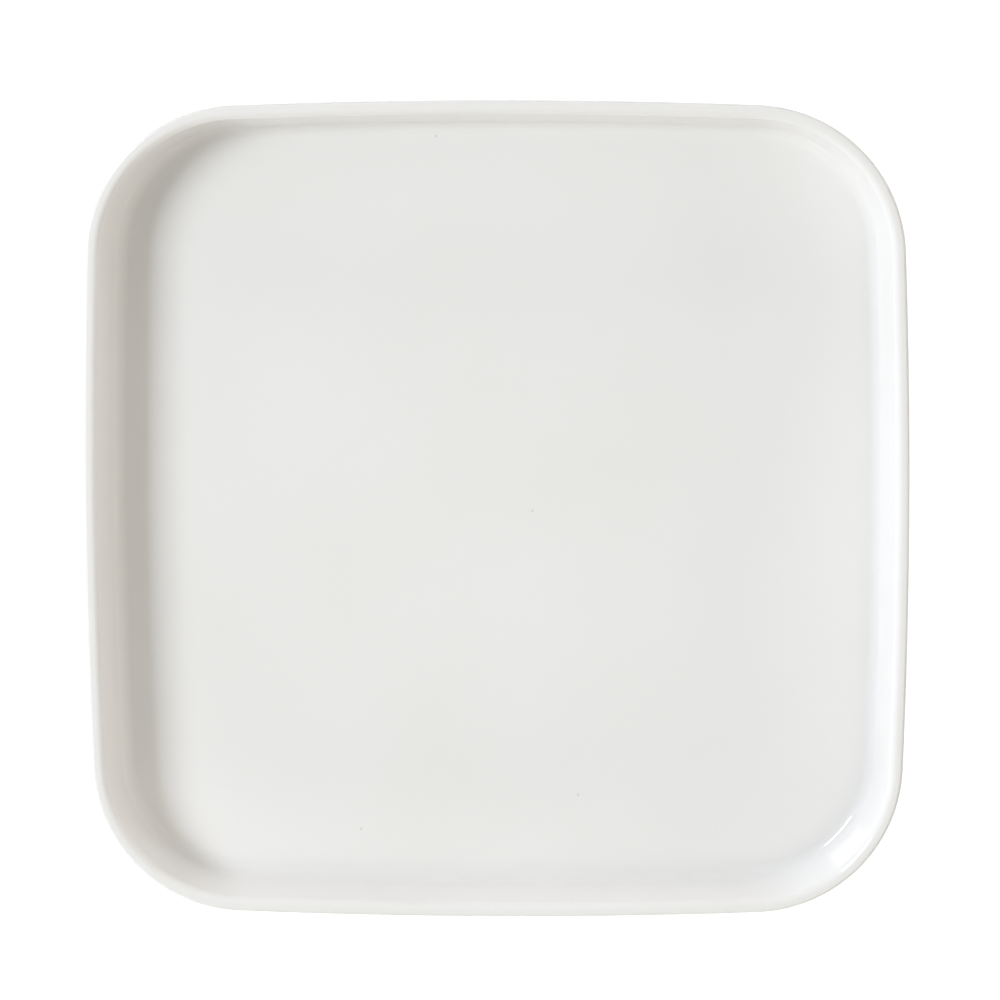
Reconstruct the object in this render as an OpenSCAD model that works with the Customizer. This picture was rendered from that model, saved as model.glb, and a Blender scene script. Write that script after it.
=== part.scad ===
// Square porcelain plate with bowed sides, round corners, a low leaning wall and a bare foot ring.
//
// The plate is one section swept round a rounded square. Every section point is given as
// [x, z]: x is 0 at the outermost line of the rim and negative towards the middle of the plate,
// and z is the height above the table. The wall leans out by 7 for every 24 that it rises, and the
// sizes go up in steps that suit this, so that the points where arcs and lines meet come out exact.

/* [Outline] */
// Width across the middles of two opposite sides
plate_w = 260; // [240:4:280]
// Radius of the four corners, seen from above
corner_r = 48; // [46:1:52]
// Angle that each side, a shallow arc, turns through from its middle to a corner
side_turn = 2.2; // [1:0.1:4]

/* [Section] */
// Depth of the well, from the top of the rim to the floor
well_depth = 16.8; // [15:0.6:18.6]
// Radius of the rim's outer edge
rim_out_r = 1; // [1, 1.3]
// Width of the rim's flat top, between its outer and its inner edge
rim_flat = 0.9; // [0.7:0.1:1.3]
// Radius of the rim's inner edge
rim_in_r = 2.7; // [2.4:0.1:3]
// Radius of the cove between the floor and the wall
cove_r = 4.5; // [4:0.1:8]
// Radius of the heel between the wall and the underside
heel_r = 10; // [9.5:0.1:12]
// Thickness of the floor
floor_t = 4.7; // [4.1:0.3:5.6]

/* [Foot] */
// Height of the foot ring below the underside
foot_h = 2.5; // [2.4:0.1:3.5]
// Width of the foot ring
foot_w = 5; // [4:0.5:6]
// Distance from the outermost line of the rim to the foot ring
foot_inset = 25; // [22:1:28]

/* [Glaze] */
// Thickness of the glaze
glaze_t = 0.25; // [0.2, 0.25, 0.3]
// Height above the table at which the glaze stops, on both sides of the foot ring
glaze_line = 1; // [0.9:0.1:1.2]

/* [Hidden] */

// Lean of the wall: along each millimetre of it, how far it rises and how far it runs out.
// wall_out points out of its outer face.
wall_rise = 24 / 25;
wall_run = 7 / 25;
wall_out = [wall_rise, -wall_run];

// Heights above the table
underside_z = foot_h;
floor_z = underside_z + floor_t;
plate_h = floor_z + well_depth;
floor_middle_z = underside_z + floor_t / 2;

// Centres of the section's arcs: the two edges of the rim, the cove and the heel
rim_out_centre = [-rim_out_r, plate_h - rim_out_r];
rim_in_centre = [-rim_out_r - rim_flat, plate_h - rim_in_r];
cove_span = wall_run * well_depth + (1 - wall_run) * (rim_in_r + cove_r);
cove_centre = [rim_in_centre[0] - cove_span / wall_rise, floor_z + cove_r];
heel_rise = plate_h - underside_z;
heel_span = wall_run * heel_rise + (1 - wall_run) * heel_r - (1 - wall_rise + wall_run) * rim_out_r;
heel_centre = [-heel_span / wall_rise, underside_z + heel_r];

// Rounding of the foot ring: where it leaves the underside, and along its bare edges
foot_fillet_r = 1;
foot_edge_r = 0.8;
foot_middle_x = -foot_inset - foot_w / 2;

// Outline: each side is an arc about a far centre, and each corner an arc tangent to two sides
centre_gap = (plate_w / 2 - corner_r) / (1 + sin(side_turn) - cos(side_turn));
side_r = centre_gap + corner_r;
side_centre_x = plate_w / 2 - side_r;
corner_at = centre_gap * sin(side_turn);

// The swept section stops this far in from the rim, and the flat middle starts a little outside that
section_end = 42;
middle_inset = 40;

// Facets of a side, of a corner and of a whole circle in the section
side_facets = 16;
corner_facets = 32;
section_fn = 96;

bisque = "#e9e4d8";
glaze_white = "#ecece9";

// Turns a vector a quarter turn to the right
function to_right(v) = [v[1], -v[0]];

// The part of a disc that lies to the right of its chord, going from p to q
module disc_cap(centre, r, p, q) {
    chord = q - p;
    beyond = 2 * to_right(chord);
    start = p - chord / 2;
    end = q + chord / 2;
    intersection() {
        translate(centre) circle(r = r, $fn = section_fn);
        polygon([start, end, end + beyond, start + beyond]);
    }
}

// The plate's section from the rim in, with its glazed faces drawn in by skin
module plate_section(skin) {
    floor_end = [-section_end, floor_z - skin];
    cove_low = cove_centre - [0, cove_r + skin];
    cove_high = cove_centre + (cove_r + skin) * wall_out;
    rim_in_low = rim_in_centre - (rim_in_r - skin) * wall_out;
    rim_in_top = rim_in_centre + [0, rim_in_r - skin];
    rim_out_top = rim_out_centre + [0, rim_out_r - skin];
    rim_out_low = rim_out_centre + (rim_out_r - skin) * wall_out;
    heel_high = heel_centre + (heel_r - skin) * wall_out;
    heel_low = heel_centre - [0, heel_r - skin];
    underside_end = [-section_end, underside_z + skin];

    fillet_r = foot_fillet_r + skin;
    outer_x = -foot_inset - skin;
    inner_x = -foot_inset - foot_w + skin;
    fillet_z = underside_z - foot_fillet_r;
    outer_fillet = [-foot_inset + foot_fillet_r, fillet_z];
    inner_fillet = [-foot_inset - foot_w - foot_fillet_r, fillet_z];
    outer_top = outer_fillet + [0, fillet_r];
    inner_top = inner_fillet + [0, fillet_r];
    outer_edge = [outer_x - foot_edge_r, foot_edge_r];
    inner_edge = [inner_x + foot_edge_r, foot_edge_r];

    difference() {
        union() {
            polygon([
                floor_end, cove_low, cove_high, rim_in_low, rim_in_top, rim_out_top, rim_out_low,
                heel_high, heel_low, outer_top, [outer_x, fillet_z], [outer_x, foot_edge_r], [outer_edge[0], 0],
                [inner_edge[0], 0], [inner_x, foot_edge_r], [inner_x, fillet_z], inner_top,
                underside_end
            ]);
            disc_cap(rim_out_centre, rim_out_r - skin, rim_out_low, rim_out_top);
            disc_cap(rim_in_centre, rim_in_r - skin, rim_in_top, rim_in_low);
            disc_cap(heel_centre, heel_r - skin, heel_low, heel_high);
            disc_cap(outer_edge, foot_edge_r, [outer_edge[0], 0], [outer_x, foot_edge_r]);
            disc_cap(inner_edge, foot_edge_r, [inner_x, foot_edge_r], [inner_edge[0], 0]);
        }
        disc_cap(cove_centre, cove_r + skin, cove_low, cove_high);
        disc_cap(outer_fillet, fillet_r, outer_top, [outer_x, fillet_z]);
        disc_cap(inner_fillet, fillet_r, [inner_x, fillet_z], inner_top);
    }
}

// The section of the whole glaze, on every face above the glaze line
module glaze_section() {
    difference() {
        plate_section(0);
        plate_section(glaze_t);
        translate([-section_end, 0]) square([section_end, glaze_line]);
    }
}

// The part of a section that lies under the floor and inside the middle of the foot ring
module inside_foot() {
    translate([-section_end, 0]) square([section_end + foot_middle_x, floor_middle_z]);
}

// Moves in three steps, whole millimetres first, so that a long move stays exact to its last digits
module move(v) {
    whole = [for (d = v) round(d)];
    fine = [for (d = v - whole) round(1000 * d) / 1000];
    translate(whole) translate(fine) translate(v - whole - fine) children();
}

// Sweeps a section along an arc of the outline, from one angle to another
module swept(r, from, to, facets) {
    rotate_extrude(start = from, angle = to - from, $fn = floor(360 * facets / (to - from)))
        move([r, 0]) children();
}

// One side of the plate, the one towards +X
module side() {
    move([side_centre_x, 0, 0])
        swept(side_r, -side_turn, side_turn, side_facets) children();
}

// One corner of the plate, the one towards +X and +Y
module corner() {
    move([corner_at, corner_at, 0])
        swept(corner_r, side_turn, 90 - side_turn, corner_facets) children();
}

// The flat middle of the plate, which overlaps the swept part all round
module middle(z_low, z_high) {
    width = plate_w - 2 * middle_inset;
    translate([-width / 2, -width / 2, z_low]) cube([width, width, z_high - z_low]);
}

// A whole plate of one section, with its flat middle between two heights
module plate(z_low, z_high) {
    for (quarter = [0:3]) {
        rotate(90 * quarter) {
            side() children();
            corner() children();
        }
    }
    middle(z_low, z_high);
}

// Fired body: floor, wall and rim with the foot ring, whose lowest edge stays bare
module porcelain_body() {
    color(bisque) plate(underside_z + glaze_t, floor_z - glaze_t) plate_section(glaze_t);
}

// Glaze over the eating face, the rim and the outer wall, down to the outside of the foot ring
module face_glaze() {
    color(glaze_white)
        plate(floor_z - glaze_t, floor_z)
            difference() {
                glaze_section();
                inside_foot();
            }
}

// Glaze of the shallow recess inside the foot ring
module base_glaze() {
    color(glaze_white)
        plate(underside_z, underside_z + glaze_t)
            intersection() {
                glaze_section();
                inside_foot();
            }
}

porcelain_body();
face_glaze();
base_glaze();
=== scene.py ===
"""Square porcelain plate with bowed sides, white glaze and a bare foot ring, on a plain pale floor."""
import math

import bpy
from mathutils import Matrix, Vector


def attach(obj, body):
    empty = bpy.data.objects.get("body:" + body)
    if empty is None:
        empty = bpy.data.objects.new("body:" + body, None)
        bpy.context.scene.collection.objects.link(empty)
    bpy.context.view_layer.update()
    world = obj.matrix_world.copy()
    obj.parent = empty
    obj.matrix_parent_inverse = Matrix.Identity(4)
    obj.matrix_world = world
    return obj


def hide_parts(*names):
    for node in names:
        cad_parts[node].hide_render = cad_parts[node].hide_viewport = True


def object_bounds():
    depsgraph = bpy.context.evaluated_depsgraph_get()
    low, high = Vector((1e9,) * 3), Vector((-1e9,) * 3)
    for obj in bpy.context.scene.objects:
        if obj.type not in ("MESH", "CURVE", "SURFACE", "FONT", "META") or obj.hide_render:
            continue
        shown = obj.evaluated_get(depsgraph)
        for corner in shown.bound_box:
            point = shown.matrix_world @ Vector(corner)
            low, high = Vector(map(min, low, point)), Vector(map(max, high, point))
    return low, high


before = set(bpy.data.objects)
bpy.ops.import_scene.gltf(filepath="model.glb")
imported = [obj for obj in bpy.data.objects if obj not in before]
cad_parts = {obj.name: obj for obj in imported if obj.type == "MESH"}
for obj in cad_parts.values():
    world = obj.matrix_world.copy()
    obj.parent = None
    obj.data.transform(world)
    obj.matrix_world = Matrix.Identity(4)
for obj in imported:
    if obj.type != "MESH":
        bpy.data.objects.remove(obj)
CAD_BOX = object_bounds()

MM = 0.001

# Outline, in millimetres and degrees: four bowed sides joined by round corners
PLATE_W = (CAD_BOX[1].x - CAD_BOX[0].x) / MM
CORNER_R = 48
SIDE_TURN = 2.2

# Heights above the table, in millimetres
GLAZE_LINE = 1
UNDERSIDE_Z = 2.5
FLOOR_Z = 7.2
PLATE_H = CAD_BOX[1].z / MM

# Section, in millimetres and degrees
WALL_LEAN = 16.26
RIM_OUT_R = 1
RIM_FLAT = 0.9
RIM_IN_R = 2.7
COVE_R = 4.5
HEEL_R = 10
FOOT_W = 5
FOOT_INSET = 25
FOOT_FILLET_R = 1
FOOT_EDGE_R = 0.8
GLAZE_T = 0.25

# The lofted part of the floor ends this far in from the rim, and a grid fills the middle
LOFT_END = 42

# Unevenness of the fired floor, in millimetres: height of its waves, and the width over which they fade in
WAVE_H = 0.04
WAVE_FADE = 14

# Its waves along x, along y and aslant: millimetres per radian, starts in radians, and the last one's share
WAVE_X, WAVE_Y, WAVE_SLANT = 31, 37, 19
START_X, START_Y, START_SLANT = 0.6, -0.4, 1.1
SLANT_SHARE = 0.6

# Soft grey specks in the glaze of the floor, in millimetres: their places and their reach
SPECKS = ((-19.0, 117.3), (11.0, -1.9), (-44.1, -105.1), (25.4, -93.8))
SPECK_R = 0.75

# Colours: the two tones of a clouded surface, and the specks
GLAZE_TONES = ((0.774, 0.768, 0.763), (0.794, 0.788, 0.788))
BISQUE_TONES = ((0.72, 0.66, 0.56), (0.82, 0.78, 0.69))
SPECK_GREY = (0.64, 0.63, 0.61)

# Noise between these two values is spread over a range of numbers
NOISE_LOW = 0.3
NOISE_HIGH = 0.7

# Steps of the meshes
SIDE_STEPS = 20
CORNER_STEPS = 28
FLOOR_STEPS = 10
COVE_STEPS = 24
RIM_STEPS = 16
HEEL_STEPS = 16
SMALL_ARC_STEPS = 8

# Camera, fitted to the outline of the photographed plate: turns in degrees, lengths in millimetres
CAMERA_TILT_X = -8.68
CAMERA_TILT_Y = 1.85
CAMERA_ROLL = -0.2
CAMERA_DISTANCE = 1957.8
CAMERA_AIM = (1.26, 3.91)
CAMERA_LENS = 223.9
CAMERA_SENSOR = 36

# Floor of the scene: half its width in metres, its surface, and its glow, which makes it look white
STAGE_HALF = 6
STAGE_TONE = 0.25
STAGE_ROUGHNESS = 0.9
STAGE_GLOW = 0.92

# The floor of the scene lies this far below the foot ring, in millimetres, so that no two faces coincide
STAGE_GAP = 0.2

# Light panels, this many metres from the plate. Each has an azimuth and an elevation, a width and a height,
# all in degrees as seen from the plate, then its radiance and its colour.
PANEL_DISTANCE = 4
PANELS = (
    ("key", 170, 38, 16, 18, 21.8, (0.885, 0.94, 1)),
    ("back_left", 125, 36, 50, 24, 1.15, (1, 0.96, 0.94)),
    ("back", 90, 9, 50, 15, 3.8, (1, 0.98, 0.94)),
    ("right", 2, 9, 50, 15, 3, (1, 0.9, 0.8)),
    ("front_right", 315, 40, 40, 30, 1.3, (1, 1, 1)),
    ("front_right_high", 315, 64, 40, 30, 1.8, (1, 0.95, 0.78)),
    ("front_left", 232, 9, 50, 15, 3.8, (1, 0.97, 0.9)),
)

# The panel whose reflection makes the bright streaks at a corner
STREAK = ("streak", 150, 47, 16, 8, 18, (1, 1, 1))

# Watts that a square metre of panel needs for a radiance of 1
PANEL_POWER = 4

# Brightness of the surround straight below the plate, and from the horizon up
BELOW_GLOW = 0.7
ABOVE_GLOW = 0.1

# Centres of the section's arcs as (x, z), where x is 0 at the outermost line of the rim and falls inwards
LEAN_COS = math.cos(math.radians(WALL_LEAN))
LEAN_SIN = math.sin(math.radians(WALL_LEAN))
RIM_OUT_CENTRE = (-RIM_OUT_R, PLATE_H - RIM_OUT_R)
RIM_IN_CENTRE = (-RIM_OUT_R - RIM_FLAT, PLATE_H - RIM_IN_R)
WELL_DEPTH = PLATE_H - FLOOR_Z
WALL_SPAN = (LEAN_SIN * WELL_DEPTH + (1 - LEAN_SIN) * (RIM_IN_R + COVE_R)) / LEAN_COS
COVE_X = RIM_OUT_R + RIM_FLAT + WALL_SPAN
COVE_CENTRE = (-COVE_X, FLOOR_Z + COVE_R)
HEEL_RISE = PLATE_H - UNDERSIDE_Z
HEEL_SPAN = LEAN_SIN * HEEL_RISE + (1 - LEAN_SIN) * HEEL_R - (1 - LEAN_COS + LEAN_SIN) * RIM_OUT_R
HEEL_CENTRE = (-HEEL_SPAN / LEAN_COS, UNDERSIDE_Z + HEEL_R)
FILLET_Z = UNDERSIDE_Z - FOOT_FILLET_R

# Outline: each side is an arc about a far centre, and each corner an arc tangent to two sides
TURN = math.radians(SIDE_TURN)
CENTRE_GAP = (PLATE_W / 2 - CORNER_R) / (1 + math.sin(TURN) - math.cos(TURN))
SIDE_R = CENTRE_GAP + CORNER_R
CORNER_AT = CENTRE_GAP * math.sin(TURN)


def arc(centre, radius, first, last, steps):
    """Points of an arc between two angles in degrees, both ends included."""
    angles = [math.radians(first + (last - first) * i / steps) for i in range(steps + 1)]
    return [(centre[0] + radius * math.cos(a), centre[1] + radius * math.sin(a)) for a in angles]


def face_path(skin):
    """Section from the floor over the rim and the heel to the outer side of the foot, drawn in by skin."""
    floor_z = FLOOR_Z - skin
    width = LOFT_END - COVE_X
    path = [(-LOFT_END + width * i / FLOOR_STEPS, floor_z) for i in range(FLOOR_STEPS)]
    path += arc(COVE_CENTRE, COVE_R + skin, -90, -WALL_LEAN, COVE_STEPS)
    path += arc(RIM_IN_CENTRE, RIM_IN_R - skin, 180 - WALL_LEAN, 90, RIM_STEPS)
    path += arc(RIM_OUT_CENTRE, RIM_OUT_R - skin, 90, -WALL_LEAN, RIM_STEPS)
    path += arc(HEEL_CENTRE, HEEL_R - skin, -WALL_LEAN, -90, HEEL_STEPS)
    fillet = (-FOOT_INSET + FOOT_FILLET_R, FILLET_Z)
    path += arc(fillet, FOOT_FILLET_R + skin, 90, 180, SMALL_ARC_STEPS)
    return path


def foot_path(skin):
    """Section round the lowest edge of the foot ring, drawn in by skin at its sides."""
    outer = (-FOOT_INSET - skin - FOOT_EDGE_R, FOOT_EDGE_R)
    inner = (-FOOT_INSET - FOOT_W + skin + FOOT_EDGE_R, FOOT_EDGE_R)
    path = arc(outer, FOOT_EDGE_R, 0, -90, SMALL_ARC_STEPS)
    path += arc(inner, FOOT_EDGE_R, -90, -180, SMALL_ARC_STEPS)
    return path


def base_path(skin):
    """Section from the inner side of the foot into the recess under the floor, drawn in by skin."""
    fillet = (-FOOT_INSET - FOOT_W - FOOT_FILLET_R, FILLET_Z)
    path = arc(fillet, FOOT_FILLET_R + skin, 0, 90, SMALL_ARC_STEPS)
    path.append((-LOFT_END, UNDERSIDE_Z + skin))
    return path


def glaze_edge(middle_x):
    """Section of the round edge in which the glaze ends on a side of the foot ring."""
    radius = GLAZE_T / 2
    return arc((middle_x, GLAZE_LINE + radius), radius, 0, -180, SMALL_ARC_STEPS)


def heading(angle):
    """Flat unit vector at an angle in radians."""
    return Vector((math.cos(angle), math.sin(angle)))


def outline(inset):
    """Points of the outline, moved in by inset, counter-clockwise from the lower end of the +X side."""
    quarter = []
    side_centre = Vector((PLATE_W / 2 - SIDE_R, 0))
    for i in range(SIDE_STEPS):
        angle = TURN * (2 * i / SIDE_STEPS - 1)
        quarter.append(side_centre + (SIDE_R - inset) * heading(angle))
    corner_centre = Vector((CORNER_AT, CORNER_AT))
    for i in range(CORNER_STEPS):
        angle = TURN + (math.pi / 2 - 2 * TURN) * i / CORNER_STEPS
        quarter.append(corner_centre + (CORNER_R - inset) * heading(angle))
    return [Matrix.Rotation(k * math.pi / 2, 2) @ p for k in range(4) for p in quarter]


def wave(place):
    """Height of the fired floor's unevenness at a place, which fades to nothing at the cove."""
    x, y = place
    edge = PLATE_W / 2 - COVE_X - max(abs(x), abs(y))
    fade = min(max(edge / WAVE_FADE, 0), 1)
    height = math.sin(x / WAVE_X + START_X) * math.cos(y / WAVE_Y + START_Y)
    height += SLANT_SHARE * math.sin((x + y) / WAVE_SLANT + START_SLANT)
    return WAVE_H * height * fade * fade * (3 - 2 * fade)


class Shell:
    """Points and faces of a closed mesh that is lofted round the outline."""

    def __init__(self):
        self.points = []
        self.faces = []

    def add(self, place, z):
        """Adds a point and returns its number."""
        self.points.append((place[0] * MM, place[1] * MM, z * MM))
        return len(self.points) - 1

    def ring(self, x, z, uneven):
        """Adds a whole turn of points for one point of the section."""
        return [self.add(p, z + (wave(p) if uneven else 0)) for p in outline(-x)]

    def loft(self, path, uneven_steps=0):
        """Adds the surface along a section, whose first steps are uneven, and returns its end rings."""
        rings = [self.ring(x, z, i < uneven_steps) for i, (x, z) in enumerate(path)]
        for a, b in zip(rings, rings[1:]):
            for i in range(len(a)):
                j = (i + 1) % len(a)
                self.faces.append((a[i], b[i], b[j], a[j]))
        return rings[0], rings[-1]

    def fill(self, ring, z, up, uneven=False):
        """Fills a ring with a grid that faces up or down."""
        cells = SIDE_STEPS + CORNER_STEPS
        # The four edges of the grid meet at the middles of the round corners
        first = SIDE_STEPS + CORNER_STEPS // 2 - cells
        edges = [[ring[(first + k * cells + i) % len(ring)] for i in range(cells + 1)] for k in range(4)]
        right, top, left, bottom = edges
        top.reverse()
        left.reverse()
        spot = {}
        for i in range(cells + 1):
            spot[i, 0], spot[i, cells], spot[0, i], spot[cells, i] = bottom[i], top[i], left[i], right[i]
        flat = {key: Vector(self.points[number][:2]) / MM for key, number in spot.items()}
        for i in range(1, cells):
            for j in range(1, cells):
                u, v = i / cells, j / cells
                across = flat[0, j].lerp(flat[cells, j], u)
                along = flat[i, 0].lerp(flat[i, cells], v)
                low = flat[0, 0].lerp(flat[cells, 0], u)
                high = flat[0, cells].lerp(flat[cells, cells], u)
                place = across + along - low.lerp(high, v)
                spot[i, j] = self.add(place, z + (wave(place) if uneven else 0))
        for i in range(cells):
            for j in range(cells):
                face = (spot[i, j], spot[i + 1, j], spot[i + 1, j + 1], spot[i, j + 1])
                self.faces.append(face if up else face[::-1])

    def piece(self, name, node, material):
        """Makes the mesh object that stands for a node of the CAD model."""
        mesh = bpy.data.meshes.new(name)
        mesh.from_pydata(self.points, [], self.faces)
        mesh.materials.append(material)
        mesh.shade_smooth()
        obj = bpy.data.objects.new(name, mesh)
        bpy.context.scene.collection.objects.link(obj)
        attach(obj, "root")
        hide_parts(node)


def make_face_glaze(material):
    """Glaze over the eating face, the rim and the outer wall, down to the outer side of the foot ring."""
    edge = glaze_edge(-FOOT_INSET - GLAZE_T / 2)
    path = face_path(0) + edge + face_path(GLAZE_T)[::-1]
    shell = Shell()
    upper, lower = shell.loft(path, FLOOR_STEPS)
    shell.fill(upper, FLOOR_Z, up=True, uneven=True)
    shell.fill(lower, FLOOR_Z - GLAZE_T, up=False)
    shell.piece("white_face_glaze", "face_glaze", material)


def make_base_glaze(material):
    """Glaze of the shallow recess inside the foot ring."""
    edge = glaze_edge(-FOOT_INSET - FOOT_W + GLAZE_T / 2)
    path = base_path(GLAZE_T)[::-1] + edge + base_path(0)
    shell = Shell()
    upper, lower = shell.loft(path)
    shell.fill(upper, UNDERSIDE_Z + GLAZE_T, up=True)
    shell.fill(lower, UNDERSIDE_Z, up=False)
    shell.piece("white_base_glaze", "base_glaze", material)


def make_body(material):
    """Fired body, which shows only along the lowest edge of the foot ring."""
    shell = Shell()
    upper, lower = shell.loft(face_path(GLAZE_T) + foot_path(GLAZE_T) + base_path(GLAZE_T))
    shell.fill(upper, FLOOR_Z - GLAZE_T, up=True)
    shell.fill(lower, UNDERSIDE_Z + GLAZE_T, up=False)
    shell.piece("fired_body", "porcelain_body", material)


def new_material(name):
    """A node material, with its nodes, its links and its shader."""
    material = bpy.data.materials.new(name)
    material.use_nodes = True
    nodes = material.node_tree.nodes
    return material, nodes, material.node_tree.links, nodes["Principled BSDF"]


def noise(nodes, links, scale, detail=2):
    """A noise in the plate's own metres."""
    place = nodes.new("ShaderNodeTexCoord")
    texture = nodes.new("ShaderNodeTexNoise")
    texture.inputs["Scale"].default_value = scale
    texture.inputs["Detail"].default_value = detail
    links.new(place.outputs["Object"], texture.inputs["Vector"])
    return texture.outputs["Fac"]


def between(nodes, links, value, low, high):
    """Spreads a noise over a range of numbers."""
    spread = nodes.new("ShaderNodeMapRange")
    spread.inputs["From Min"].default_value = NOISE_LOW
    spread.inputs["From Max"].default_value = NOISE_HIGH
    spread.inputs["To Min"].default_value = low
    spread.inputs["To Max"].default_value = high
    links.new(value, spread.inputs["Value"])
    return spread.outputs["Result"]


def colour_mix(nodes, links, value, low, high):
    """Mixes two colours, given as numbers or as another node's output, by a number from 0 to 1."""
    mix = nodes.new("ShaderNodeMix")
    mix.data_type = "RGBA"
    links.new(value, mix.inputs["Factor"])
    for name, colour in (("A", low), ("B", high)):
        socket = next(s for s in mix.inputs if s.name == name and s.type == "RGBA")
        if isinstance(colour, tuple):
            socket.default_value = (*colour, 1)
        else:
            links.new(colour, socket)
    return next(s for s in mix.outputs if s.type == "RGBA")


def grain(nodes, links, shader, scale, height):
    """Fine relief on a surface, of a height in millimetres."""
    bump = nodes.new("ShaderNodeBump")
    bump.inputs["Strength"].default_value = 1
    bump.inputs["Distance"].default_value = height * MM
    links.new(noise(nodes, links, scale), bump.inputs["Height"])
    links.new(bump.outputs["Normal"], shader.inputs["Normal"])


def speck(nodes, links, x, y):
    """A number that is 1 at a place on the floor and fades to 0 round it."""
    place = nodes.new("ShaderNodeTexCoord")
    apart = nodes.new("ShaderNodeVectorMath")
    apart.operation = "DISTANCE"
    apart.inputs[1].default_value = (x * MM, y * MM, FLOOR_Z * MM)
    links.new(place.outputs["Object"], apart.inputs[0])
    fade = nodes.new("ShaderNodeMapRange")
    fade.interpolation_type = "SMOOTHSTEP"
    fade.inputs["From Min"].default_value = 0
    fade.inputs["From Max"].default_value = SPECK_R * MM
    fade.inputs["To Min"].default_value = 1
    fade.inputs["To Max"].default_value = 0
    links.new(apart.outputs["Value"], fade.inputs["Value"])
    return fade.outputs["Result"]


def glaze_material():
    """Clear gloss over white, faintly clouded, with a few specks and an even skin of the finest ripple."""
    material, nodes, links, shader = new_material("white_glaze")
    shader.inputs["IOR"].default_value = 1.5
    cloud = between(nodes, links, noise(nodes, links, scale=14, detail=3), low=0, high=1)
    colour = colour_mix(nodes, links, cloud, *GLAZE_TONES)
    for x, y in SPECKS:
        colour = colour_mix(nodes, links, speck(nodes, links, x, y), colour, SPECK_GREY)
    links.new(colour, shader.inputs["Base Color"])
    gloss = between(nodes, links, noise(nodes, links, scale=90), low=0.03, high=0.06)
    links.new(gloss, shader.inputs["Roughness"])
    grain(nodes, links, shader, scale=420, height=0.0016)
    return material


def bisque_material():
    """Bare fired clay, warm and matte, with a fine grain."""
    material, nodes, links, shader = new_material("bare_bisque")
    patch = between(nodes, links, noise(nodes, links, scale=60, detail=5), low=0, high=1)
    links.new(colour_mix(nodes, links, patch, *BISQUE_TONES), shader.inputs["Base Color"])
    matte = between(nodes, links, noise(nodes, links, scale=900), low=0.7, high=0.9)
    links.new(matte, shader.inputs["Roughness"])
    grain(nodes, links, shader, scale=2200, height=0.05)
    return material


def make_floor():
    """Plain floor that glows white without lighting the plate, clear from below to show the underside."""
    z = -STAGE_GAP * MM
    corners = [(x * STAGE_HALF, y * STAGE_HALF, z) for x, y in ((-1, -1), (1, -1), (1, 1), (-1, 1))]
    mesh = bpy.data.meshes.new("floor")
    mesh.from_pydata(corners, [], [(0, 1, 2, 3)])
    material, nodes, links, shader = new_material("pale_floor")
    shader.inputs["Base Color"].default_value = (STAGE_TONE, STAGE_TONE, STAGE_TONE, 1)
    shader.inputs["Roughness"].default_value = STAGE_ROUGHNESS
    shader.inputs["Emission Color"].default_value = (1, 1, 1, 1)
    shader.inputs["Emission Strength"].default_value = STAGE_GLOW
    below = nodes.new("ShaderNodeNewGeometry")
    clear = nodes.new("ShaderNodeBsdfTransparent")
    mix = nodes.new("ShaderNodeMixShader")
    links.new(below.outputs["Backfacing"], mix.inputs["Fac"])
    links.new(shader.outputs["BSDF"], mix.inputs[1])
    links.new(clear.outputs["BSDF"], mix.inputs[2])
    links.new(mix.outputs["Shader"], nodes["Material Output"].inputs["Surface"])
    mesh.materials.append(material)
    floor = bpy.data.objects.new("floor", mesh)
    bpy.context.scene.collection.objects.link(floor)
    floor.visible_diffuse = False


def make_camera():
    """Camera at the photograph's viewing angle, almost straight above the plate."""
    camera = bpy.data.objects.new("camera", bpy.data.cameras.new("camera"))
    camera.data.sensor_width = CAMERA_SENSOR
    camera.data.lens = CAMERA_LENS
    tilt_x, tilt_y, roll = (math.radians(a) for a in (CAMERA_TILT_X, CAMERA_TILT_Y, CAMERA_ROLL))
    turn = Matrix.Rotation(roll, 4, "Z") @ Matrix.Rotation(tilt_y, 4, "Y") @ Matrix.Rotation(tilt_x, 4, "X")
    aim = Vector((*CAMERA_AIM, RIM_OUT_CENTRE[1]))
    eye = aim + turn @ Vector((0, 0, CAMERA_DISTANCE))
    camera.matrix_world = Matrix.Translation(eye * MM) @ turn
    bpy.context.scene.collection.objects.link(camera)
    bpy.context.scene.camera = camera


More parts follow.
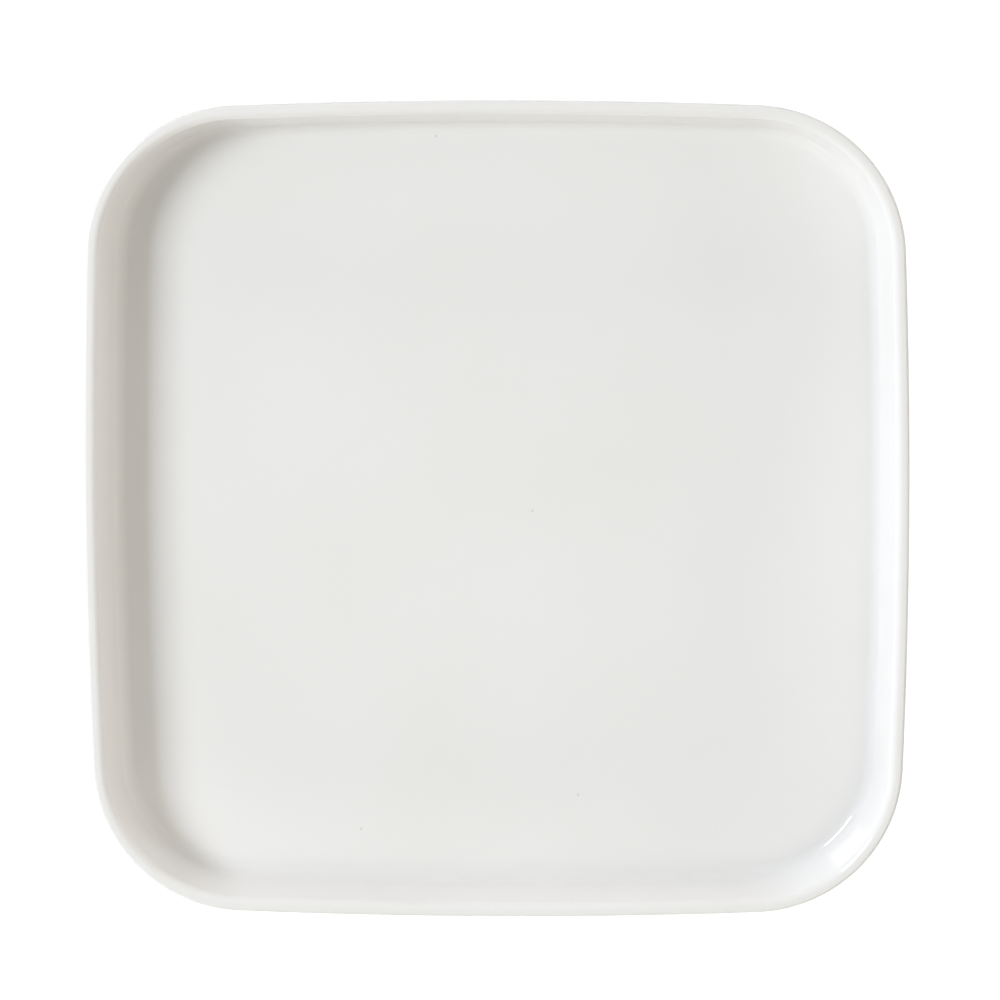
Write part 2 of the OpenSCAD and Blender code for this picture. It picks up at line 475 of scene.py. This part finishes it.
def towards(azimuth, elevation):
    """Direction from the plate, in degrees: azimuth is counter-clockwise from +X, seen from above."""
    a, e = math.radians(azimuth), math.radians(elevation)
    return Vector((math.cos(a) * math.cos(e), math.sin(a) * math.cos(e), math.sin(e)))


def softbox(name, azimuth, elevation, wide, high, radiance, colour):
    """Light panel that faces the plate and spans wide by high degrees of its view."""
    light = bpy.data.lights.new(name, "AREA")
    light.shape = "RECTANGLE"
    light.size = 2 * PANEL_DISTANCE * math.tan(math.radians(wide / 2))
    light.size_y = 2 * PANEL_DISTANCE * math.tan(math.radians(high / 2))
    light.energy = radiance * PANEL_POWER * light.size * light.size_y
    light.color = colour
    way = towards(azimuth, elevation)
    facing = way.to_track_quat("Z", "Y").to_matrix().to_4x4()
    obj = bpy.data.objects.new(name, light)
    obj.matrix_world = Matrix.Translation(way * PANEL_DISTANCE) @ facing
    bpy.context.scene.collection.objects.link(obj)
    return obj


def make_panels():
    """Soft studio light: panels that don't show in the glaze, and one that shows there and nowhere else."""
    for panel in PANELS:
        softbox(*panel).visible_glossy = False
    softbox(*STREAK).visible_diffuse = False


def make_surround():
    """Dim surround that grows brighter below the horizon, in place of light thrown up by a floor."""
    world = bpy.data.worlds.new("studio")
    bpy.context.scene.world = world
    world.use_nodes = True
    nodes, links = world.node_tree.nodes, world.node_tree.links
    view = nodes.new("ShaderNodeTexCoord")
    parts = nodes.new("ShaderNodeSeparateXYZ")
    links.new(view.outputs["Generated"], parts.inputs["Vector"])
    fade = nodes.new("ShaderNodeMapRange")
    fade.interpolation_type = "SMOOTHSTEP"
    fade.inputs["From Min"].default_value = -1
    fade.inputs["From Max"].default_value = 0
    fade.inputs["To Min"].default_value = BELOW_GLOW
    fade.inputs["To Max"].default_value = ABOVE_GLOW
    links.new(parts.outputs["Z"], fade.inputs["Value"])
    background = nodes["Background"]
    background.inputs["Color"].default_value = (1, 1, 1, 1)
    links.new(fade.outputs["Result"], background.inputs["Strength"])


make_camera()
glaze = glaze_material()
make_body(bisque_material())
make_face_glaze(glaze)
make_base_glaze(glaze)
make_floor()
make_panels()
make_surround()
bpy.context.scene.view_settings.view_transform = "Standard"
